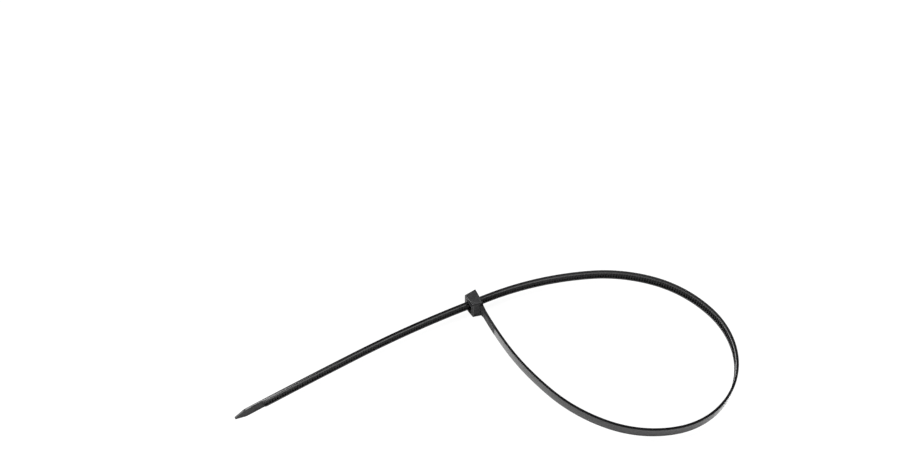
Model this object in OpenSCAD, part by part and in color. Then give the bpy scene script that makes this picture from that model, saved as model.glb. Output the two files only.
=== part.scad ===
// Nylon cable tie, drawn up into a loop and lying on its edge.
// One moulded piece: pointed tail, toothed strap, neck and ratchet head.
// The strap's width runs along Z, and the plane z = 0 is its middle.
// The origin is the centre of the wide bend that seats against a bundle.
// In the head the strap runs along +X towards the loop, and the neck leaves along -Y.

/* [Strap] */
// Width of the strap
strap_w = 9; // [7:0.1:11]
// Thickness of the strap over its rails
strap_t = 1.9; // [1.6:0.05:2.4]
// Width of the smooth rail on each side of the teeth
rail_w = 1.8; // [1.2:0.1:2.4]
// Thickness of the web under the teeth
web_t = 1; // [0.8:0.05:1.2]
// Step from the top of the rails down to the crests of the teeth
crest_drop = 0.1; // [0.05:0.01:0.2]
// Chamfer on the strap's long edges
edge_cut = 0.3; // [0.1:0.05:0.45]

/* [Teeth] */
// Spacing of the teeth along the strap
tooth_pitch = 2; // [1.6:0.05:2.6]
// Length of each tooth's gentle ramp
ramp_len = 1.15; // [0.9:0.05:1.2]
// Length of each tooth's flat crest
crest_len = 0.25; // [0.1:0.05:0.3]
// Length of each tooth's steep catching face
catch_len = 0.15; // [0.05:0.05:0.2]

/* [Loop] */
// Turn of the first, widest bend next to the head
turn_1 = 20; // [16:1:24]
// Turn of the second bend
turn_2 = 24; // [20:1:28]
// Turn of the third bend
turn_3 = 33; // [29:1:36]
// Radius of the first bend
bend_1 = 239; // [236:1:250]
// Radius of the second bend
bend_2 = 116; // [100:1:120]
// Radius of the third bend
bend_3 = 86; // [76:1:90]
// Radius of the bend that seats against the bundle
seat_bend = 61; // [56:1:64]
// Turn of the tighter bend that swings the neck towards the loop
swing_turn = 10; // [8:1:12]
// Radius of that tighter bend
swing_bend = 189; // [180:1:210]
// Turn of the slight bend that follows it up to the head
ease_turn = 6; // [5:1:7]
// Radius of that slight bend
ease_bend = 325; // [300:5:360]

/* [Tail] */
// Length of tail from the crossing in the head to the tip
tail_len = 197; // [150:1:320]
// Length of tail beside the head that keeps a slight bend
set_len = 90; // [40:1:100]
// Radius of that slight bend
set_bend = 830; // [500:10:990]
// Radius of the even slighter bend of the rest of the tail
free_bend = 4500; // [2000:100:9000]
// Length of the plain, thinner stretch at the tip
tip_len = 22; // [18:1:40]
// Thickness of the plain stretch at the tip
tip_t = 1.3; // [1.05:0.05:1.5]
// Length of the taper to the point
point_len = 8; // [5:0.5:12]
// Width left at the blunt point
point_w = 1.5; // [1:0.1:3]

/* [Grip ridges] */
// Number of grip ridges across the smooth side of the tail
grip_count = 11; // [5:1:14]
// Spacing of the grip ridges
grip_pitch = 1.5; // [1.2:0.1:2]
// Width of each grip ridge at its foot
grip_w = 1.1; // [0.8:0.1:1.1]
// Height of the grip ridges
grip_rise = 0.2; // [0.1:0.05:0.25]
// Distance from the tip to the first grip ridge
grip_start = 14; // [10:0.5:20]

/* [Neck] */
// Length of plain strap on the bend next to the head
neck_len = 14; // [8:1:40]
// Width of the neck where it meets the head
neck_w = 11.4; // [11:0.1:13]
// Length of the neck's widening
flare_len = 5; // [3:0.5:8]
// Thickness of the neck where it meets the head
root_t = 2.3; // [2.1:0.1:3]

/* [Head] */
// Width of the head across the strap
head_w = 16.6; // [15:0.1:19]
// Depth of the head along the slot at its far end
head_deep = 9.8; // [9.2:0.1:12]
// Depth of the head along the slot at its neck end
head_low = 7.9; // [7.2:0.1:9]
// Distance from the crossing to the head's far end
head_far = 6.3; // [5.4:0.1:8]
// Distance from the crossing to the head's neck end
head_near = 7.9; // [7.4:0.1:8.3]
// Slant of the head's two ends
end_slant = 1.6; // [0.5:0.1:2]
// Chamfer round the head's edges
head_cut = 0.5; // [0.2:0.05:0.8]
// Height of the raised frame round the slot's mouth
frame_rise = 0.5; // [0.3:0.05:0.8]
// Width of the raised frame at its foot
frame_foot = 1.1; // [0.8:0.1:1.4]
// Width of the raised frame at its top
frame_top = 0.6; // [0.4:0.1:0.8]

/* [Slot and pawl] */
// Gap between the strap and the slot, on each side
slot_gap = 0.35; // [0.25:0.05:0.5]
// Flare of the slot's mouth on the loop side
guide_cut = 0.6; // [0.3:0.05:0.8]
// Width of the pawl
pawl_w = 6.6; // [6:0.1:7.5]
// Clearance of the pawl's teeth in the strap's teeth
mesh_gap = 0.12; // [0.08:0.01:0.2]
// Share of the strap's ramp that a tooth of the pawl fills
mesh_share = 0.8; // [0.6:0.05:0.9]
// Thickness of the pawl at its free end
pawl_t = 1.3; // [1:0.1:1.6]
// Thickness of the pawl at its hinge
hinge_t = 0.9; // [0.7:0.1:1.2]
// Distance from the crossing to the chamber's wall behind the pawl
chamber_far = 5; // [4.8:0.1:5.4]
// Thickness of the floor that carries the pawl's hinge
floor_t = 2.6; // [2.2:0.1:3]
// Number of teeth on the pawl
pawl_teeth = 2; // [1:1:2]

/* [Hidden] */
$fn = 180;
// Very slight bends get more steps, so that their middles stay true
FINE = 1440;
NYLON = [0.1, 0.1, 0.105];

// Small overlap that joins one piece of the moulding to the next
sink = 0.05;
// How far the strap's added forms reach down into it
bury = 0.4;
// How far the neck reaches into the head
neck_seat = 1;
// Straight stretch of tail that stands clear of the head's outer side
lead = 2;

// Crests and valleys of the teeth, measured from the strap's middle towards its inner side
rail_top = strap_t / 2;
smooth_face = -strap_t / 2;
valley = smooth_face + web_t;
crest = rail_top - crest_drop;
channel_w = strap_w - 2 * rail_w;

// Coordinates are placed as whole millimetres, thousandths and a rest, so that bends meet exactly
function rounded(v, step) = [for (c = v) step * round(c / step)];
module place(v) {
    whole = rounded(v, 1);
    part = rounded(v - whole, 0.001);
    translate([whole.x, whole.y, 0])
        translate([part.x, part.y, 0])
            translate([v.x - whole.x - part.x, v.y - whole.y - part.y, 0])
                children();
}

// The loop closes at the crossing, where the neck meets the strap at a right angle.
// It is the same on both sides, but for the neck's last swing towards the inside.
seat_turn = 135 - turn_1 - turn_2 - turn_3;
function outwards(heading) = [-sin(heading), cos(heading)];
bend_start = (bend_2 - bend_1) * outwards(-turn_1) + (bend_3 - bend_2) * outwards(-turn_1 - turn_2)
    + (seat_bend - bend_3) * outwards(-turn_1 - turn_2 - turn_3) + bend_1 * outwards(0);
straight_run = bend_start.x + bend_start.y;
crossing = [-bend_start.y, bend_start.y];

// The strap as a chain of runs from the tip to the neck: section, bend radius, turn, length
TIP = 0;
TOOTHED = 1;
PLAIN = 2;
function turn_for(length, radius) = rounded([length / radius * 180 / PI], 0.001)[0];
function bend(kind, radius, turn) = [kind, radius, turn, radius * turn * PI / 180];
function straight(kind, length) = [kind, 0, 0, length];
// A pose is a place on the strap's middle line and its heading
function ahead(pose, run, part = 1) = run[1] == 0
    ? [pose.x + part * run[3] * cos(pose.z), pose.y + part * run[3] * sin(pose.z), pose.z]
    : let (after = pose.z - part * run[2])
      [pose.x + run[1] * (sin(pose.z) - sin(after)), pose.y + run[1] * (cos(after) - cos(pose.z)), after];
function follow(pose, runs, i = 0) = i == len(runs) ? pose : follow(ahead(pose, runs[i]), runs, i + 1);

// The loop, from the crossing round to the neck
crossing_pose = [crossing.x, crossing.y, 0];
neck_turn = turn_for(neck_len, ease_bend);
LOOP = [
    straight(TOOTHED, straight_run),
    bend(TOOTHED, bend_1, turn_1),
    bend(TOOTHED, bend_2, turn_2),
    bend(TOOTHED, bend_3, turn_3),
    bend(TOOTHED, seat_bend, 2 * seat_turn),
    bend(TOOTHED, bend_3, turn_3),
    bend(TOOTHED, bend_2, turn_2),
    bend(TOOTHED, bend_1, turn_1 - swing_turn - ease_turn),
    bend(TOOTHED, swing_bend, swing_turn),
    bend(TOOTHED, ease_bend, ease_turn - neck_turn),
    bend(PLAIN, ease_bend, neck_turn)
];
loop_end = follow(crossing_pose, LOOP);

// The neck runs straight into the head, flush with the head's side towards the loop
neck_end = head_near - neck_seat;
neck_run = crossing.y - neck_end - loop_end.y;
neck_shift = loop_end.x - crossing.x;
loop_side = neck_shift + rail_top;
exit_far = loop_side - head_deep;
exit_near = loop_side - head_low;

// The tail, from the tip to the crossing
passage = lead - exit_far;
TAIL = [
    bend(TIP, free_bend, turn_for(tip_len, free_bend)),
    bend(TOOTHED, free_bend, turn_for(tail_len - tip_len - set_len - passage, free_bend)),
    bend(TOOTHED, set_bend, turn_for(set_len, set_bend)),
    straight(TOOTHED, passage)
];
RUNS = concat(TAIL, LOOP, [straight(PLAIN, neck_run)]);
crossing_run = len(TAIL);
function pose_of(i) = i == crossing_run ? crossing_pose
    : i > crossing_run ? ahead(pose_of(i - 1), RUNS[i - 1]) : ahead(pose_of(i + 1), RUNS[i], -1);
POSES = [for (i = [0:len(RUNS)]) pose_of(i)];
// The length along the strap is counted from the crossing, and is negative on the tail
function length_to(i) = i == crossing_run ? 0
    : i > crossing_run ? length_to(i - 1) + RUNS[i - 1][3] : length_to(i + 1) - RUNS[i][3];
LENGTHS = [for (i = [0:len(RUNS)]) length_to(i)];
function run_at(s, i = 0) = i == len(RUNS) - 1 || s < LENGTHS[i + 1] ? i : run_at(s, i + 1);
function pose_at(s) = let (i = run_at(s)) ahead(POSES[i], RUNS[i], (s - LENGTHS[i]) / RUNS[i][3]);
// A point beside the middle line, positive towards the inner, toothed side
function beside(s, offset) = let (p = pose_at(s)) [p.x + offset * sin(p.z), p.y - offset * cos(p.z)];

// The teeth are spaced out from the crossing, so that the pawl's teeth meet theirs
tip_end = LENGTHS[1];
toothed_end = LENGTHS[len(RUNS) - 2];
first_tooth = ceil(tip_end / tooth_pitch) + 1;
last_tooth = floor(toothed_end / tooth_pitch) - 2;

// Cross-section of a toothed stretch: smooth face, two rails and the channel between them
function channel_section() = [
    [smooth_face + edge_cut, -strap_w / 2], [rail_top - edge_cut, -strap_w / 2],
    [rail_top, -strap_w / 2 + edge_cut], [rail_top, -channel_w / 2],
    [valley - sink, -channel_w / 2], [valley - sink, channel_w / 2],
    [rail_top, channel_w / 2], [rail_top, strap_w / 2 - edge_cut],
    [rail_top - edge_cut, strap_w / 2], [smooth_face + edge_cut, strap_w / 2],
    [smooth_face, strap_w / 2 - edge_cut], [smooth_face, -strap_w / 2 + edge_cut]
];
// Cross-section of a plain stretch with chamfered edges, from the smooth face to a given inner face
function plain_section(inner) = [
    [smooth_face + edge_cut, -strap_w / 2], [inner - edge_cut, -strap_w / 2],
    [inner, -strap_w / 2 + edge_cut], [inner, strap_w / 2 - edge_cut],
    [inner - edge_cut, strap_w / 2], [smooth_face + edge_cut, strap_w / 2],
    [smooth_face, strap_w / 2 - edge_cut], [smooth_face, -strap_w / 2 + edge_cut]
];
function section_of(kind) = kind == TOOTHED ? channel_section()
    : kind == PLAIN ? plain_section(rail_top) : plain_section(smooth_face + tip_t);

// Puts a shape drawn along +X, with its inner side at -Y, at a pose on the strap
module at_pose(pose) {
    place([pose.x, pose.y])
        rotate([0, 0, pose.z])
            children();
}

// One bend of the strap, turned about a centre on its inner side
module strap_bend(i) {
    radius = RUNS[i][1];
    turn = RUNS[i][2];
    end = POSES[i + 1];
    place([end.x, end.y] - radius * outwards(end.z))
        rotate_extrude(angle = turn, start = 90 + end.z, $fn = radius > 10 * seat_bend ? FINE : $fn)
            polygon([for (p = section_of(RUNS[i][0])) [radius - p.x, p.y]]);
}

// One straight run, drawn from both of its ends so that each end meets its neighbour exactly
module strap_straight(i) {
    part = 0.6 * RUNS[i][3];
    outline = [for (p = section_of(RUNS[i][0])) [-p.x, p.y]];
    at_pose(POSES[i])
        rotate([90, 0, 90])
            linear_extrude(height = part)
                polygon(outline);
    at_pose(POSES[i + 1])
        rotate([90, 0, 90])
            translate([0, 0, -part])
                linear_extrude(height = part)
                    polygon(outline);
}

// The ladder of teeth as one comb that fills the channel down to its floor
module teeth() {
    base = (smooth_face + valley) / 2;
    teeth_line = [for (i = [first_tooth:last_tooth]) let (s = i * tooth_pitch) each [
        beside(s, valley),
        beside(s + ramp_len, crest),
        beside(s + ramp_len + crest_len, crest),
        beside(s + ramp_len + crest_len + catch_len, valley)
    ]];
    end_line = [beside(toothed_end + bury, valley), beside(toothed_end + bury, base)];
    base_line = [for (i = [last_tooth:-1:first_tooth]) beside(i * tooth_pitch, base)];
    start_line = [beside(tip_end - bury, base), beside(tip_end - bury, valley)];
    translate([0, 0, -channel_w / 2 - sink])
        linear_extrude(height = channel_w + 2 * sink)
            polygon(concat(teeth_line, end_line, base_line, start_line));
}

// The tapered point of the tail, as the shape that the plain tip is cut to
module point_outline() {
    side = strap_w / 2 + sink;
    slope = (side - point_w / 2) / point_len;
    polygon([
        [-1, slope - point_w / 2], [point_len, -side], [2 * tip_len, -side],
        [2 * tip_len, side], [point_len, side], [-1, point_w / 2 - slope]
    ]);
}

module tip() {
    intersection() {
        strap_bend(0);
        at_pose(POSES[0])
            rotate([90, 0, 0])
                linear_extrude(height = 4 * strap_t, center = true)
                    point_outline();
    }
}

// Fine ridges across the smooth side, for the fingers
module grip_ridges() {
    for (i = [0:grip_count - 1])
        at_pose(pose_at(LENGTHS[0] + grip_start + i * grip_pitch))
            linear_extrude(height = strap_w - 4 * edge_cut, center = true)
                polygon([
                    [-grip_w / 2, -smooth_face - bury], [-grip_w / 2, -smooth_face - sink],
                    [0, -smooth_face + grip_rise],
                    [grip_w / 2, -smooth_face - sink], [grip_w / 2, -smooth_face - bury]
                ]);
}

// The head's depth falls from its far end to its neck end
function exit_at(y) = exit_near + (exit_far - exit_near) * (y + head_near) / (head_far + head_near);

module head_plan() {
    polygon([
        [loop_side, -head_near + head_cut], [loop_side, head_far - head_cut],
        [loop_side - head_cut, head_far],
        [exit_far + head_cut, head_far - end_slant], [exit_far, head_far - end_slant - head_cut],
        [exit_near, -head_near + end_slant + head_cut], [exit_near + head_cut, -head_near + end_slant],
        [loop_side - head_cut, -head_near]
    ]);
}

// The head's outline across the strap, with its chamfered edges
module head_sides() {
    half = head_w / 2;
    polygon([
        [loop_side, -half + head_cut], [loop_side - head_cut, -half],
        [exit_far + head_cut, -half], [exit_far, -half + head_cut],
        [exit_far, half - head_cut], [exit_far + head_cut, half],
        [loop_side - head_cut, half], [loop_side, half - head_cut]
    ]);
}

// Draws a shape of X and Z as a bar along Y through the whole head
module along_y() {
    rotate([-90, 0, 0])
        linear_extrude(height = 4 * head_w, center = true)
            children();
}

module head_block() {
    intersection() {
        linear_extrude(height = 2 * head_w, center = true)
            head_plan();
        along_y()
            head_sides();
    }
}

// Slot and pawl chamber
slot_half = strap_t / 2 + slot_gap;
slot_w = strap_w + 2 * slot_gap;

// The low frame that stands round the slot's mouth on the outer side
module slot_frame() {
    foot_low = -chamber_far - frame_foot;
    top_low = -chamber_far - frame_top;
    foot_high = slot_half + frame_foot;
    top_high = slot_half + frame_top;
    intersection() {
        linear_extrude(height = slot_w + 2 * frame_foot, center = true)
            polygon([
                [exit_at(top_low) - frame_rise, top_low], [exit_at(foot_low) + head_cut, foot_low],
                [exit_at(foot_high) + head_cut, foot_high], [exit_at(top_high) - frame_rise, top_high]
            ]);
        along_y()
            polygon([
                [loop_side - head_cut, -slot_w / 2 - frame_foot], [exit_near, -slot_w / 2 - frame_foot],
                [exit_far - frame_rise, -slot_w / 2 - frame_top], [exit_far - frame_rise, slot_w / 2 + frame_top],
                [exit_near, slot_w / 2 + frame_foot], [loop_side - head_cut, slot_w / 2 + frame_foot]
            ]);
    }
}

module slot() {
    through = 4 * head_deep;
    mouth_in = loop_side - guide_cut;
    mouth_out = loop_side + guide_cut;
    // passage for the strap
    cube([through, 2 * slot_half, slot_w], center = true);
    // flared mouth on the loop side
    intersection() {
        linear_extrude(height = 2 * slot_w, center = true)
            polygon([
                [mouth_out, slot_half + 2 * guide_cut], [mouth_in, slot_half],
                [mouth_in, -slot_half], [mouth_out, -slot_half - 2 * guide_cut]
            ]);
        along_y()
            polygon([
                [mouth_out, -slot_w / 2 - 2 * guide_cut], [mouth_in, -slot_w / 2],
                [mouth_in, slot_w / 2], [mouth_out, slot_w / 2 + 2 * guide_cut]
            ]);
    }
    // chamber that the pawl swings in, open on the outer side
    translate([-through, -chamber_far, -slot_w / 2])
        cube([through + loop_side - floor_t, chamber_far, slot_w]);
}

// The pawl hangs from the chamber's floor and rests its teeth in the strap's teeth
pawl_root = loop_side - floor_t;
pawl_side = rail_top + slot_gap;
module pawl() {
    last = -pawl_teeth - 1;
    free_end = last * tooth_pitch + ramp_len + crest_len;
    back = pawl_side + pawl_t;
    linear_extrude(height = pawl_w, center = true)
        polygon([
            [pawl_root + bury, -chamber_far - bury], [pawl_root - hinge_t, -chamber_far - bury],
            [pawl_root - hinge_t - bury, -back - bury], [free_end, -back],
            [free_end, -pawl_side], [pawl_root - hinge_t / 2, -pawl_side], [pawl_root + bury, -pawl_side - hinge_t]
        ]);
    for (i = [last:last + pawl_teeth - 1])
        pawl_tooth(i * tooth_pitch);
}

// One tooth of the pawl, a clearance away from the valley that it sits in
module pawl_tooth(x) {
    steep = x + ramp_len + crest_len + mesh_gap;
    low = valley + mesh_gap;
    next = x + tooth_pitch;
    slope = ramp_len / (crest - valley);
    linear_extrude(height = channel_w - 2 * slot_gap, center = true)
        polygon([
            [steep, -pawl_side - sink], [steep + catch_len, -low],
            [next, -low], [next + slope * mesh_share * (pawl_side + sink - low), -pawl_side - sink]
        ]);
}

// The neck widens and thickens into the head
module neck_root() {
    end = head_near + flare_len;
    inner = rail_top - edge_cut;
    translate([neck_shift, 0, 0])
        intersection() {
            linear_extrude(height = 2 * neck_w, center = true)
                polygon([
                    [inner, -neck_end], [inner, -head_near - neck_seat], [0, -end], [smooth_face + edge_cut, -end],
                    [rail_top - root_t, -head_near], [rail_top - root_t, -neck_end]
                ]);
            rotate([0, 90, 0])
                linear_extrude(height = 4 * head_deep, center = true)
                    polygon([
                        [-neck_w / 2, -neck_end], [-neck_w / 2, -head_near], [-strap_w / 2 + edge_cut, -end],
                        [strap_w / 2 - edge_cut, -end], [neck_w / 2, -head_near], [neck_w / 2, -neck_end]
                    ]);
        }
}

module head() {
    place(crossing) {
        difference() {
            union() {
                head_block();
                slot_frame();
            }
            slot();
        }
        pawl();
        neck_root();
    }
}

module strap() {
    tip();
    for (i = [1:len(RUNS) - 1])
        if (RUNS[i][1] == 0)
            strap_straight(i);
        else
            strap_bend(i);
    teeth();
    grip_ridges();
}

module cable_tie() {
    color(NYLON) {
        strap();
        head();
    }
}

cable_tie();
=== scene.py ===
import math

import bmesh
import bpy
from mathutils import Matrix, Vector


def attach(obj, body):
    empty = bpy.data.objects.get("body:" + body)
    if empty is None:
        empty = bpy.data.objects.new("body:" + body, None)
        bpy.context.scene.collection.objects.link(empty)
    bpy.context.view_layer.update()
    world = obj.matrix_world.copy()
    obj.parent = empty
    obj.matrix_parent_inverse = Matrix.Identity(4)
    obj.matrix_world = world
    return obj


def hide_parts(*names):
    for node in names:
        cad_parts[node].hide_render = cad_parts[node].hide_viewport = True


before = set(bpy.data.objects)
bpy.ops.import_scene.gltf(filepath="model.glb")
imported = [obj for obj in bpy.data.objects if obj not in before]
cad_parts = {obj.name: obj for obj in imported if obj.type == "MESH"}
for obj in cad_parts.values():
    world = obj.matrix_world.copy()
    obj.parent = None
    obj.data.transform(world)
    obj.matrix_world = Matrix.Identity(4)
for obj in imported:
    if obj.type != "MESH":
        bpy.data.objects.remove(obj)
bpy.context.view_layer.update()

MM = 0.001

# Strap sizes in millimetres, the same as the solid's
STRAP_W = 9.0
STRAP_T = 1.9
RAIL_W = 1.8
WEB_T = 1.0
CREST_DROP = 0.1

# Rounded edges that the scene gives the strap: smooth side, outer edges of the rails, and channel
EDGE_ROUND = 0.12
CROWN_ACROSS = 0.3
CROWN_DROP = 0.15
RAIL_ROUND = 0.12

# Greatest shares of a thin section's thickness and half width that its rounded edges may take
ROUND_OF_THICK = 0.3
ROUND_OF_HALF = 0.8
CROWN_OF_THICK = 0.45

# How far in the middle of a channel's rounded edge lies, as a share of the round
ROUND_MIDDLE = 0.3

# Faces of the strap, measured from its middle line
SMOOTH_FACE = -STRAP_T / 2
RAIL_TOP = STRAP_T / 2
VALLEY = SMOOTH_FACE + WEB_T
CREST = RAIL_TOP - CREST_DROP
CHANNEL_HALF = STRAP_W / 2 - RAIL_W

# Teeth, whose crests the scene rounds
TOOTH_PITCH = 2.0
RAMP_LEN = 1.15
CREST_LEN = 0.25
CATCH_LEN = 0.15
CREST_ROUND = 0.06

# Loop: turns in degrees and bend radii, from the head to the bundle's seat
TURNS = (20.0, 24.0, 33.0)
BENDS = (239.0, 116.0, 86.0)
SEAT_BEND = 61.0
SEAT_TURN = 135.0 - sum(TURNS)
SWING_TURN = 10.0
SWING_BEND = 189.0
EASE_TURN = 6.0
EASE_BEND = 325.0

# Tail
TAIL_LEN = 197.0
SET_LEN = 90.0
SET_BEND = 830.0
FREE_BEND = 4500.0
TIP_LEN = 22.0
TIP_T = 1.3
TIP_STEP = 2.0
POINT_LEN = 8.0
POINT_W = 1.5

# The scene's finish of the point: its rounded end, the stretch over which the taper is eased in,
# how softly that is done, in square millimetres, and the share of the rounding that thins the end
POINT_ROUND = 0.4
POINT_EASE = 2.0
POINT_SOFT = 0.12
POINT_THIN = 0.5

# Grip ridges, and their ends: how far short the full height stops, and the share of it left
GRIP_COUNT = 11
GRIP_PITCH = 1.5
GRIP_W = 1.1
GRIP_RISE = 0.2
GRIP_START = 14.0
GRIP_HALF = 3.8
GRIP_END = 0.25
GRIP_FOOT = 0.15

# Neck: its inner side steps in slightly, clear of the head's face, and its matte stretch is longer
NECK_LEN = 14.0
NECK_HALF = 5.7
FLARE_LEN = 5.0
ROOT_T = 2.3
NECK_SEAT = 1.0
NECK_STEP = 0.04
MATTE_LEN = 22.0

# Head
HEAD_HALF = 8.3
HEAD_DEEP = 9.8
HEAD_LOW = 7.9
HEAD_FAR = 6.3
HEAD_NEAR = 7.9
END_SLANT = 1.6
HEAD_ROUND = 0.5
FRAME_RISE = 0.5
FRAME_FOOT = 1.1
FRAME_TOP = 0.6
FRAME_ROUND = 0.15

# Slot with its flared mouth, and the straight tail that stands clear of its outer side
SLOT_GAP = 0.35
SLOT_HALF = STRAP_T / 2 + SLOT_GAP
SLOT_Z = STRAP_W / 2 + SLOT_GAP
GUIDE_CUT = 0.6
MOUTH_DEEP = 1.2 * GUIDE_CUT
MOUTH_WIDE = 2 * GUIDE_CUT
MOUTH_INSET = 0.1
LEAD = 2.0

# Chamber and pawl
CHAMBER_FAR = 5.0
FLOOR_T = 2.6
PAWL_HALF = 3.3
PAWL_T = 1.3
HINGE_T = 0.9
PAWL_TEETH = 2
PAWL_ROUND = 0.08
MESH_GAP = 0.12
MESH_SHARE = 0.8

# How far the pawl reaches into the head, and its teeth into it past its rounded edges
BURY = 0.7
SINK = 0.05

# Segments of rounded edges
ROUND_STEPS = 3
CROWN_STEPS = 3
HEAD_STEPS = 4

# Faces of the inner side, on each side of the channel's floor: wall, two of the round, and rail
RAIL_FACES = 4

# Spacing of the sections along the strap, and the least gap before the first tooth's
PLAIN_STEP = 0.5
GRIP_STEP = GRIP_PITCH / 8
SECTION_GAP = 0.1

# Sections that round the tip, and where the first of them is
TIP_RINGS = 4
TIP_START = 0.002

# A head face whose normal is this upright is a flat side, and a crease past this angle is sharp
FLAT_SIDE = 0.99
SHARP_ANGLE = math.radians(32)

# Corners of the strap's mesh that lie closer than this, in metres, are one
SAME_PLACE = 1e-7

# Camera at the photograph's viewing angle, in metres, with its lens and sensor in millimetres
CAMERA_AT = Vector((-0.31297, -0.32845, 0.72769))
CAMERA_AIM = Vector((-0.08123, 0.17006, -0.00414))
CAMERA_NEAR = 0.01
CAMERA_LENS = 45.695
CAMERA_SENSOR = 36.0

# Softboxes in metres and watts: name, place, aim, width, height and power.
# They stand clear of what the upward faces mirror, but for a faint strip behind the far side.
SOFTBOXES = (
    ("softbox_back", (-0.29, 0.46, 1.1), (-0.08, 0.02, 0), 0.35, 0.35, 14),
    ("softbox_rim", (0.344, 0.556, 0.815), (0, 0.09, 0), 0.55, 0.12, 0.5),
    ("softbox_left", (-0.7, 0.1, 0.35), (-0.14, 0.03, 0), 0.5, 0.5, 9),
    ("softbox_right", (0.55, -0.05, 0.3), (0.08, -0.06, 0), 0.5, 0.5, 8),
)

# Floor, in metres, and surroundings, which are pale in low directions and dark in steep ones
FLOOR_Z = -HEAD_HALF * MM
FLOOR_HALF = 4.0
FLOOR_COLOUR = (0.86, 0.86, 0.86, 1)
FLOOR_ROUGH = 0.9
FLOOR_GLOSS = 0.1
FLOOR_GLOW = 0.92
SKY_PALE_UNTIL = 0.2
SKY_DARK_FROM = 0.5
SKY_PALE = (1, 1, 1, 1)
SKY_DARK = (0.03, 0.03, 0.03, 1)

# Slots of the nylon: polished strap, grained flat sides of the head, its walls and the teeth, and neck
SMOOTH = 0
GRAINED = 1
DULL = 2
MATTE = 3
NYLONS = ("nylon_smooth", "nylon_grained", "nylon_dull", "nylon_matte")

# Nylon: two shades for each finish, and the clouds that mix them and vary the gloss
NYLON_IOR = 1.53
BLACK_SHADES = ((0.003, 0.003, 0.0032, 1), (0.005, 0.005, 0.0054, 1))
GRAINED_SHADES = ((0.008, 0.008, 0.0085, 1), (0.012, 0.012, 0.0125, 1))
MATTE_SHADES = ((0.006, 0.006, 0.0065, 1), (0.01, 0.01, 0.0105, 1))
CLOUD_MM = 14.0
CLOUD_DETAIL = 2.0
GRAIN_DETAIL = 3.0
TINT_FROM = 0.35
TINT_TO = 0.65
ROUGH_FROM = 0.3
ROUGH_TO = 0.7


# Path of the strap

def outwards(heading):
    """Direction from a bend's centre to the strap, where the strap has that heading."""
    turned = math.radians(heading)
    return Vector((-math.sin(turned), math.cos(turned)))


def bend_start():
    """Where the first bend starts, seen from the centre of the bundle's seat."""
    radii = BENDS + (SEAT_BEND,)
    at = BENDS[0] * outwards(0)
    heading = 0.0
    for i, turn in enumerate(TURNS):
        heading -= turn
        at += (radii[i + 1] - radii[i]) * outwards(heading)
    return at


def bend(radius, turn):
    return (radius, turn, radius * math.radians(turn))


def straight(length):
    return (0.0, 0.0, length)


def turn_for(length, radius):
    """The turn of a bend of that length, rounded as the solid's is."""
    return round(math.degrees(length / radius), 3)


def ahead(pose, run, part=1.0):
    """The pose after part of a run, where a pose is a place on the middle line and a heading."""
    x, y, heading = pose
    radius, turn, length = run
    if radius == 0:
        angle = math.radians(heading)
        return (x + part * length * math.cos(angle), y + part * length * math.sin(angle), heading)
    after = heading - part * turn
    centre = Vector((x, y)) - radius * outwards(heading)
    at = centre + radius * outwards(after)
    return (at.x, at.y, after)


BEND_START = bend_start()
CROSSING = Vector((-BEND_START.y, BEND_START.y))
CROSSING_POSE = (CROSSING.x, CROSSING.y, 0.0)
HALF_LOOP = [bend(radius, turn) for radius, turn in zip(BENDS, TURNS)]
LOOP = (
    [straight(BEND_START.x + BEND_START.y)] + HALF_LOOP + [bend(SEAT_BEND, 2 * SEAT_TURN)]
    + HALF_LOOP[:0:-1] + [bend(BENDS[0], TURNS[0] - SWING_TURN - EASE_TURN)]
    + [bend(SWING_BEND, SWING_TURN), bend(EASE_BEND, EASE_TURN)]
)
LOOP_END = CROSSING_POSE
for run in LOOP:
    LOOP_END = ahead(LOOP_END, run)

# The neck runs straight into the head, flush with the head's side towards the loop
NECK_END = HEAD_NEAR - NECK_SEAT
NECK_RUN = CROSSING.y - NECK_END - LOOP_END[1]
NECK_SHIFT = LOOP_END[0] - CROSSING.x
LOOP_SIDE = NECK_SHIFT + RAIL_TOP
EXIT_FAR = LOOP_SIDE - HEAD_DEEP
EXIT_NEAR = LOOP_SIDE - HEAD_LOW
PASSAGE = LEAD - EXIT_FAR
TAIL = [
    bend(FREE_BEND, turn_for(TIP_LEN, FREE_BEND)),
    bend(FREE_BEND, turn_for(TAIL_LEN - TIP_LEN - SET_LEN - PASSAGE, FREE_BEND)),
    bend(SET_BEND, turn_for(SET_LEN, SET_BEND)),
    straight(PASSAGE),
]
AFTER = LOOP + [straight(NECK_RUN)]
RUNS = TAIL + AFTER


def chain():
    """Poses and lengths at the runs' starts; the length along the strap is zero at the crossing."""
    poses = [CROSSING_POSE]
    lengths = [0.0]
    for run in TAIL[::-1]:
        poses.insert(0, ahead(poses[0], run, -1.0))
        lengths.insert(0, lengths[0] - run[2])
    for run in AFTER:
        poses.append(ahead(poses[-1], run))
        lengths.append(lengths[-1] + run[2])
    return poses, lengths


POSES, LENGTHS = chain()
TIP_S = LENGTHS[0]
NECK_S = LENGTHS[-1]
TEETH_START = LENGTHS[1]
TEETH_END = NECK_S - NECK_RUN - NECK_LEN
MATTE_START = NECK_S + NECK_END - HEAD_NEAR - MATTE_LEN


def pose_at(s):
    """The pose at a length along the strap."""
    last = len(RUNS) - 1
    i = next((k for k in range(last) if s < LENGTHS[k + 1]), last)
    return ahead(POSES[i], RUNS[i], (s - LENGTHS[i]) / RUNS[i][2])


# Mesh helpers

def finish_mesh(name, bm):
    """Turns a bmesh into a linked object."""
    mesh = bpy.data.meshes.new(name)
    bm.to_mesh(mesh)
    bm.free()
    made = bpy.data.objects.new(name, mesh)
    bpy.context.scene.collection.objects.link(made)
    return made


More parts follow.
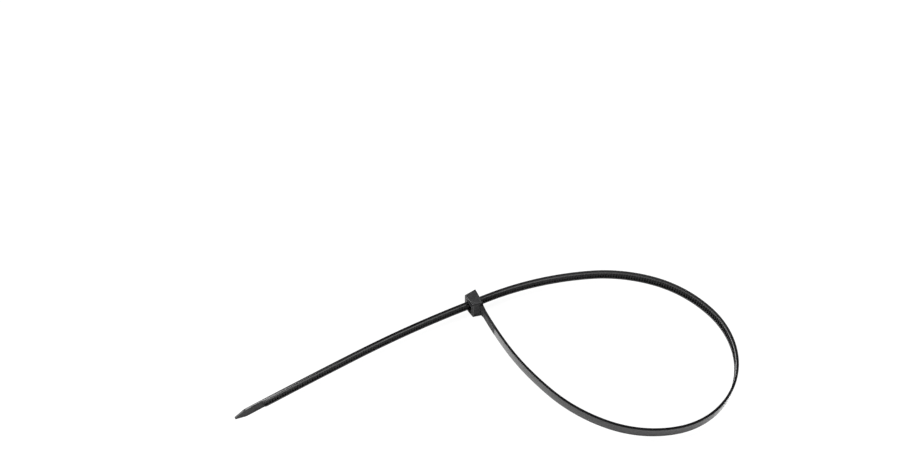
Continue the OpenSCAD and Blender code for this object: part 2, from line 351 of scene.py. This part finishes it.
def finish_nylon(name, bm):
    """An object with all the nylon materials in its slots, which a combination keeps."""
    made = finish_mesh(name, bm)
    for slot in NYLONS:
        made.data.materials.append(bpy.data.materials[slot])
    return made


def combine(base, other, operation):
    """Joins other to base or cuts it from base, and removes other."""
    change = base.modifiers.new("combine", "BOOLEAN")
    change.object = other
    change.operation = operation
    change.solver = "MANIFOLD"
    bpy.context.view_layer.update()
    shaped = bpy.data.meshes.new_from_object(base.evaluated_get(bpy.context.evaluated_depsgraph_get()))
    base.modifiers.clear()
    base.data = shaped
    bpy.data.objects.remove(other)
    return base


# Strap mesh: sections swept along the path

def eased(x):
    """Smooth step from 0 to 1."""
    x = min(max(x, 0.0), 1.0)
    return x * x * (3 - 2 * x)


def rounded_end(depth, reach):
    """How far a rounded edge has drawn in at a depth from the end."""
    if depth >= reach:
        return 0.0
    return reach - math.sqrt(reach * reach - (reach - depth) ** 2)


def grip_height(from_tip):
    """Height of the grip ridges at a distance from the tip."""
    k = round((from_tip - GRIP_START) / GRIP_PITCH)
    if k < 0 or k >= GRIP_COUNT:
        return 0.0
    off = abs(from_tip - GRIP_START - k * GRIP_PITCH) / (GRIP_W / 2)
    return GRIP_RISE * (1 - off * off) if off < 1 else 0.0


def section_sizes(s, floor):
    """Half width, smooth side, rail top, channel floor and ridge height of the section at a length."""
    from_tip = s - TIP_S
    half = STRAP_W / 2
    low = SMOOTH_FACE
    rail = RAIL_TOP
    if from_tip < TIP_LEN + TIP_STEP:
        rail = SMOOTH_FACE + TIP_T + (STRAP_T - TIP_T) * eased((from_tip - TIP_LEN) / TIP_STEP)
        floor = rail if from_tip < TIP_LEN else min(floor, rail)
    if from_tip < POINT_LEN + POINT_EASE:
        taper = POINT_W / 2 + (STRAP_W - POINT_W) / 2 * from_tip / POINT_LEN
        soft = 0.5 * (taper + half - math.sqrt((taper - half) ** 2 + POINT_SOFT))
        drawn = rounded_end(from_tip, POINT_ROUND)
        half = min(soft, STRAP_W / 2) - drawn
        low += POINT_THIN * drawn
        rail -= POINT_THIN * drawn
        floor = rail
    to_head = NECK_S + NECK_END - s
    swell = eased((HEAD_NEAR + FLARE_LEN - to_head) / FLARE_LEN)
    if s > TEETH_END:
        half += swell * (NECK_HALF - STRAP_W / 2)
        low -= swell * (ROOT_T - STRAP_T)
        rail -= swell * NECK_STEP
        floor = rail
    return half, low, rail, floor, grip_height(from_tip)


def corner(offset, height, across, up, steps):
    """Points of an elliptical quarter round about a centre, from its side to its top."""
    angles = [math.radians(90 * k / steps) for k in range(steps + 1)]
    return [(offset + across * math.cos(angle), height + up * math.sin(angle)) for angle in angles]


def section(s, floor):
    """Closed outline of the strap's section as offset from the middle line and height."""
    half, low, rail, floor, ridge = section_sizes(s, floor)
    scale = min(half / (STRAP_W / 2), 1.0)
    thick = rail - low
    r = min(EDGE_ROUND, ROUND_OF_THICK * thick, ROUND_OF_HALF * half)
    drop = min(CROWN_DROP, CROWN_OF_THICK * thick)
    across = CROWN_ACROSS * scale
    inner = CHANNEL_HALF * scale
    grip = GRIP_HALF * scale
    edge = min(RAIL_ROUND, max(rail - floor, 0.0) / 2) * scale
    inset = ROUND_MIDDLE * edge
    upper = [(low - ridge, grip - GRIP_END * scale), (low - GRIP_FOOT * ridge, grip)]
    upper += corner(low + r, half - r, -r, r, ROUND_STEPS)
    upper += corner(rail - drop, half - across, drop, across, CROWN_STEPS)[::-1]
    upper += [(rail, inner + edge), (rail - inset, inner + inset), (rail - edge, inner), (floor, inner)]
    lower = [(offset, -height) for offset, height in upper[::-1]]
    return upper + lower


def stations():
    """Lengths along the strap at which it gets a section, each with its channel floor."""
    found = [(TIP_S + POINT_ROUND * k / TIP_RINGS + TIP_START, RAIL_TOP) for k in range(TIP_RINGS)]
    s = TIP_S + POINT_ROUND
    while s < TEETH_START:
        found.append((s, RAIL_TOP))
        s += GRIP_STEP if s - TIP_S > GRIP_START - GRIP_PITCH else PLAIN_STEP
    slope = (CREST - VALLEY) / RAMP_LEN
    first = math.ceil(TEETH_START / TOOTH_PITCH) + 1
    last = math.floor(TEETH_END / TOOTH_PITCH) - 2
    s = TEETH_START
    while s < first * TOOTH_PITCH - SECTION_GAP:
        found.append((s, VALLEY))
        s += GRIP_STEP
    for i in range(first, last + 1):
        at = i * TOOTH_PITCH
        top = at + RAMP_LEN
        found += [
            (at, VALLEY),
            (top - CREST_ROUND, CREST - slope * CREST_ROUND),
            (top + CREST_ROUND / 2, CREST),
            (top + CREST_LEN - CREST_ROUND, CREST),
            (top + CREST_LEN, CREST - CREST_ROUND),
            (top + CREST_LEN + CATCH_LEN, VALLEY),
        ]
    found.append(((last + 1) * TOOTH_PITCH, VALLEY))
    found.append((TEETH_END, VALLEY))
    s = TEETH_END + CATCH_LEN
    while s < NECK_S:
        found.append((s, RAIL_TOP))
        s += PLAIN_STEP
    found.append((NECK_S, RAIL_TOP))
    return found


def strap_finish(s, from_floor):
    """Material slot of a strap face at a length, so many faces away from the channel's floor."""
    if s > MATTE_START:
        return MATTE
    if s < TEETH_START:
        return DULL if from_floor <= RAIL_FACES else SMOOTH
    return DULL if from_floor == 0 and s < TEETH_END else SMOOTH


def add_strap():
    """The strap as one closed mesh, with its tip, neck and channel's floor in their own materials."""
    bm = bmesh.new()
    rings = []
    places = stations()
    for s, floor in places:
        x, y, heading = pose_at(s)
        inward = -outwards(heading)
        ring = []
        for offset, height in section(s, floor):
            along_x = (x + offset * inward.x) * MM
            along_y = (y + offset * inward.y) * MM
            ring.append(bm.verts.new((along_x, along_y, height * MM)))
        rings.append(ring)
    count = len(rings[0])
    middle = count // 2 - 1
    for (s, _), ring, following in zip(places, rings, rings[1:]):
        for k in range(count):
            face = bm.faces.new((ring[k], ring[(k + 1) % count], following[(k + 1) % count], following[k]))
            face.material_index = strap_finish(s, abs(k - middle))
    bm.faces.new(rings[0][::-1])
    bm.faces.new(rings[-1]).material_index = MATTE
    bmesh.ops.remove_doubles(bm, verts=bm.verts, dist=SAME_PLACE)
    bmesh.ops.recalc_face_normals(bm, faces=bm.faces)
    return finish_nylon("strap", bm)


# Head mesh

def in_head(x, y, z):
    """A point of the head's own frame, in metres in the part's frame."""
    return ((CROSSING.x + x) * MM, (CROSSING.y + y) * MM, z * MM)


def add_solid(name, low_ring, high_ring, rounding=0.0, steps=2):
    """A closed solid between two rings of points of the head's frame."""
    bm = bmesh.new()
    low = [bm.verts.new(in_head(*p)) for p in low_ring]
    high = [bm.verts.new(in_head(*p)) for p in high_ring]
    count = len(low)
    bm.faces.new(low[::-1])
    bm.faces.new(high)
    for k in range(count):
        bm.faces.new((low[k], low[(k + 1) % count], high[(k + 1) % count], high[k]))
    bmesh.ops.recalc_face_normals(bm, faces=bm.faces)
    for face in bm.faces:
        face.material_index = GRAINED if abs(face.normal.z) > FLAT_SIDE else DULL
    if rounding:
        bmesh.ops.bevel(
            bm, geom=bm.edges, offset=rounding * MM, segments=steps, profile=0.5,
            affect="EDGES", material=SMOOTH,
        )
    return finish_nylon(name, bm)


def add_prism(name, plan, half, rounding=0.0, steps=2):
    """A prism of a plan outline in the head's frame, from -half to +half in height."""
    return add_solid(
        name, [(x, y, -half) for x, y in plan], [(x, y, half) for x, y in plan], rounding, steps
    )


def exit_at(y):
    """Where the head's outer side is, at a place along its length."""
    return EXIT_NEAR + (EXIT_FAR - EXIT_NEAR) * (y + HEAD_NEAR) / (HEAD_FAR + HEAD_NEAR)


def add_head():
    """The head with its slot, frame and pawl."""
    plan = [
        (LOOP_SIDE, -HEAD_NEAR), (LOOP_SIDE, HEAD_FAR),
        (EXIT_FAR, HEAD_FAR - END_SLANT), (EXIT_NEAR, -HEAD_NEAR + END_SLANT),
    ]
    head = add_prism("head", plan, HEAD_HALF, HEAD_ROUND, HEAD_STEPS)
    combine(head, add_frame(), "UNION")
    through = 4 * HEAD_DEEP
    hollow = [
        (through, -SLOT_HALF), (through, SLOT_HALF), (-through, SLOT_HALF),
        (-through, -CHAMBER_FAR), (LOOP_SIDE - FLOOR_T, -CHAMBER_FAR), (LOOP_SIDE - FLOOR_T, -SLOT_HALF),
    ]
    combine(head, add_prism("hollow", hollow, SLOT_Z), "DIFFERENCE")
    combine(head, add_mouth(), "DIFFERENCE")
    combine(head, add_pawl(), "UNION")
    return head


def rectangle(x_of, y_low, y_high, half):
    """Four corners of a rectangle across the slot, its depth from a function of the place along the head."""
    return [
        (x_of(y_low), y_low, -half), (x_of(y_high), y_high, -half),
        (x_of(y_high), y_high, half), (x_of(y_low), y_low, half),
    ]


def add_frame():
    """The raised frame round the slot, before the slot is cut."""
    foot = rectangle(
        lambda y: exit_at(y) + HEAD_ROUND,
        -CHAMBER_FAR - FRAME_FOOT, SLOT_HALF + FRAME_FOOT, SLOT_Z + FRAME_FOOT,
    )
    top = rectangle(
        lambda y: exit_at(y) - FRAME_RISE,
        -CHAMBER_FAR - FRAME_TOP, SLOT_HALF + FRAME_TOP, SLOT_Z + FRAME_TOP,
    )
    return add_solid("frame", foot, top, FRAME_ROUND)


def add_mouth():
    """The flare of the slot's mouth on the loop side."""
    narrow = SLOT_HALF - MOUTH_INSET
    wide = SLOT_HALF + MOUTH_WIDE
    inside = rectangle(lambda y: LOOP_SIDE - MOUTH_DEEP, -narrow, narrow, SLOT_Z - MOUTH_INSET)
    outside = rectangle(lambda y: LOOP_SIDE + GUIDE_CUT, -wide, wide, SLOT_Z + MOUTH_WIDE)
    return add_solid("mouth", inside, outside)


def add_pawl():
    """The pawl with its teeth, hung from the chamber's floor."""
    root = LOOP_SIDE - FLOOR_T
    side = RAIL_TOP + SLOT_GAP
    last = -PAWL_TEETH - 1
    free_end = last * TOOTH_PITCH + RAMP_LEN + CREST_LEN
    back = side + PAWL_T
    plan = [
        (root + BURY, -CHAMBER_FAR - BURY), (root - HINGE_T, -CHAMBER_FAR - BURY),
        (root - HINGE_T - BURY, -back - BURY), (free_end, -back),
        (free_end, -side), (root - HINGE_T / 2, -side), (root + BURY, -side - HINGE_T),
    ]
    pawl = add_prism("pawl", plan, PAWL_HALF, PAWL_ROUND)
    low = VALLEY + MESH_GAP
    slope = RAMP_LEN / (CREST - VALLEY)
    for i in range(last, last + PAWL_TEETH):
        steep = i * TOOTH_PITCH + RAMP_LEN + CREST_LEN + MESH_GAP
        following = (i + 1) * TOOTH_PITCH
        foot = side + PAWL_ROUND + SINK
        tooth = [
            (steep, -foot), (steep + CATCH_LEN, -low),
            (following, -low), (following + slope * MESH_SHARE * (foot - low), -foot),
        ]
        combine(pawl, add_prism("pawl_tooth", tooth, CHANNEL_HALF - SLOT_GAP), "UNION")
    return pawl


# Materials

def node(tree, kind, inputs=None, **settings):
    """Adds a shader node with the values of its inputs and its own settings."""
    made = tree.nodes.new(kind)
    for name, value in (inputs or {}).items():
        made.inputs[name].default_value = value
    for name, value in settings.items():
        setattr(made, name, value)
    return made


def set_ramp(ramp, low, low_colour, high, high_colour):
    """Gives a colour ramp its two stops."""
    stops = ramp.color_ramp.elements
    stops[0].position = low
    stops[0].color = low_colour
    stops[1].position = high
    stops[1].color = high_colour


def nylon(name, rough, gloss, grain_mm, grain_depth, shades):
    """Black moulded nylon, with a fine grain, and a tint and gloss that vary over some millimetres."""
    material = bpy.data.materials.new(name)
    material.use_nodes = True
    tree = material.node_tree
    tree.nodes.clear()
    out = node(tree, "ShaderNodeOutputMaterial")
    shader = node(tree, "ShaderNodeBsdfPrincipled", {"IOR": NYLON_IOR, "Specular IOR Level": gloss})
    place = node(tree, "ShaderNodeTexCoord")
    grain = node(tree, "ShaderNodeTexNoise", {"Scale": 1 / (grain_mm * MM), "Detail": GRAIN_DETAIL})
    cloud = node(tree, "ShaderNodeTexNoise", {"Scale": 1 / (CLOUD_MM * MM), "Detail": CLOUD_DETAIL})
    tint = node(tree, "ShaderNodeValToRGB")
    set_ramp(tint, TINT_FROM, shades[0], TINT_TO, shades[1])
    spread = node(tree, "ShaderNodeMapRange", {
        "From Min": ROUGH_FROM, "From Max": ROUGH_TO, "To Min": rough[0], "To Max": rough[1]
    })
    bump = node(tree, "ShaderNodeBump", {"Strength": 1.0, "Distance": grain_depth * MM})
    link = tree.links.new
    link(place.outputs["Object"], grain.inputs["Vector"])
    link(place.outputs["Object"], cloud.inputs["Vector"])
    link(cloud.outputs["Fac"], tint.inputs["Fac"])
    link(tint.outputs["Color"], shader.inputs["Base Color"])
    link(cloud.outputs["Fac"], spread.inputs["Value"])
    link(spread.outputs["Result"], shader.inputs["Roughness"])
    link(grain.outputs["Fac"], bump.inputs["Height"])
    link(bump.outputs["Normal"], shader.inputs["Normal"])
    link(shader.outputs["BSDF"], out.inputs["Surface"])


def add_nylons():
    """The four finishes of the one black nylon, with grain sizes and depths in millimetres."""
    nylon(NYLONS[SMOOTH], (0.12, 0.18), gloss=0.17, grain_mm=0.5, grain_depth=0.003, shades=BLACK_SHADES)
    nylon(NYLONS[GRAINED], (0.35, 0.5), gloss=0.15, grain_mm=0.6, grain_depth=0.2, shades=GRAINED_SHADES)
    nylon(NYLONS[DULL], (0.3, 0.4), gloss=0.06, grain_mm=0.3, grain_depth=0.008, shades=BLACK_SHADES)
    nylon(NYLONS[MATTE], (0.5, 0.6), gloss=0.06, grain_mm=0.16, grain_depth=0.02, shades=MATTE_SHADES)


def floor_material():
    """White table, mixed with plain white for the camera's own rays, so that its shadows look faint."""
    material = bpy.data.materials.new("pale_floor")
    material.use_nodes = True
    tree = material.node_tree
    shader = tree.nodes["Principled BSDF"]
    shader.inputs["Base Color"].default_value = FLOOR_COLOUR
    shader.inputs["Roughness"].default_value = FLOOR_ROUGH
    shader.inputs["Specular IOR Level"].default_value = FLOOR_GLOSS
    glow = node(tree, "ShaderNodeEmission")
    rays = node(tree, "ShaderNodeLightPath")
    share = node(tree, "ShaderNodeMath", operation="MULTIPLY")
    share.inputs[1].default_value = FLOOR_GLOW
    mixed = node(tree, "ShaderNodeMixShader")
    link = tree.links.new
    link(rays.outputs["Is Camera Ray"], share.inputs[0])
    link(share.outputs["Value"], mixed.inputs["Fac"])
    link(shader.outputs["BSDF"], mixed.inputs[1])
    link(glow.outputs["Emission"], mixed.inputs[2])
    link(mixed.outputs["Shader"], tree.nodes["Material Output"].inputs["Surface"])
    return material


# Scene

def add_floor():
    bm = bmesh.new()
    bmesh.ops.create_grid(bm, x_segments=1, y_segments=1, size=FLOOR_HALF)
    floor = finish_mesh("floor", bm)
    floor.location.z = FLOOR_Z
    floor.data.materials.append(floor_material())


def add_camera():
    camera = bpy.data.objects.new("camera", bpy.data.cameras.new("camera"))
    camera.data.lens = CAMERA_LENS
    camera.data.sensor_width = CAMERA_SENSOR
    camera.data.clip_start = CAMERA_NEAR
    camera.location = CAMERA_AT
    camera.rotation_euler = (CAMERA_AIM - CAMERA_AT).to_track_quat("-Z", "Y").to_euler()
    bpy.context.scene.collection.objects.link(camera)
    bpy.context.scene.camera = camera


def add_area_light(name, at, aim, width, height, power):
    light = bpy.data.lights.new(name, "AREA")
    light.shape = "RECTANGLE"
    light.size = width
    light.size_y = height
    light.energy = power
    lamp = bpy.data.objects.new(name, light)
    lamp.location = at
    lamp.rotation_euler = (Vector(aim) - Vector(at)).to_track_quat("-Z", "Y").to_euler()
    bpy.context.scene.collection.objects.link(lamp)


def add_world():
    """Pale surroundings that darken overhead, so that upward faces stay black."""
    world = bpy.data.worlds.new("studio")
    bpy.context.scene.world = world
    world.use_nodes = True
    tree = world.node_tree
    background = tree.nodes["Background"]
    place = node(tree, "ShaderNodeTexCoord")
    split = node(tree, "ShaderNodeSeparateXYZ")
    ramp = node(tree, "ShaderNodeValToRGB")
    set_ramp(ramp, SKY_PALE_UNTIL, SKY_PALE, SKY_DARK_FROM, SKY_DARK)
    tree.links.new(place.outputs["Generated"], split.inputs["Vector"])
    tree.links.new(split.outputs["Z"], ramp.inputs["Fac"])
    tree.links.new(ramp.outputs["Color"], background.inputs["Color"])
    background.inputs["Strength"].default_value = 1.0


def main():
    add_nylons()
    tie = combine(add_strap(), add_head(), "UNION")
    tie.name = "tie"
    tie.data.name = "tie"
    tie.data.shade_smooth()
    tie.data.set_sharp_from_angle(angle=SHARP_ANGLE)
    even = tie.modifiers.new("even_normals", "WEIGHTED_NORMAL")
    even.keep_sharp = True
    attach(tie, "root")
    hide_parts("cable_tie")
    add_floor()
    add_camera()
    for softbox in SOFTBOXES:
        add_area_light(*softbox)
    add_world()
    bpy.context.scene.view_settings.view_transform = "Standard"


main()
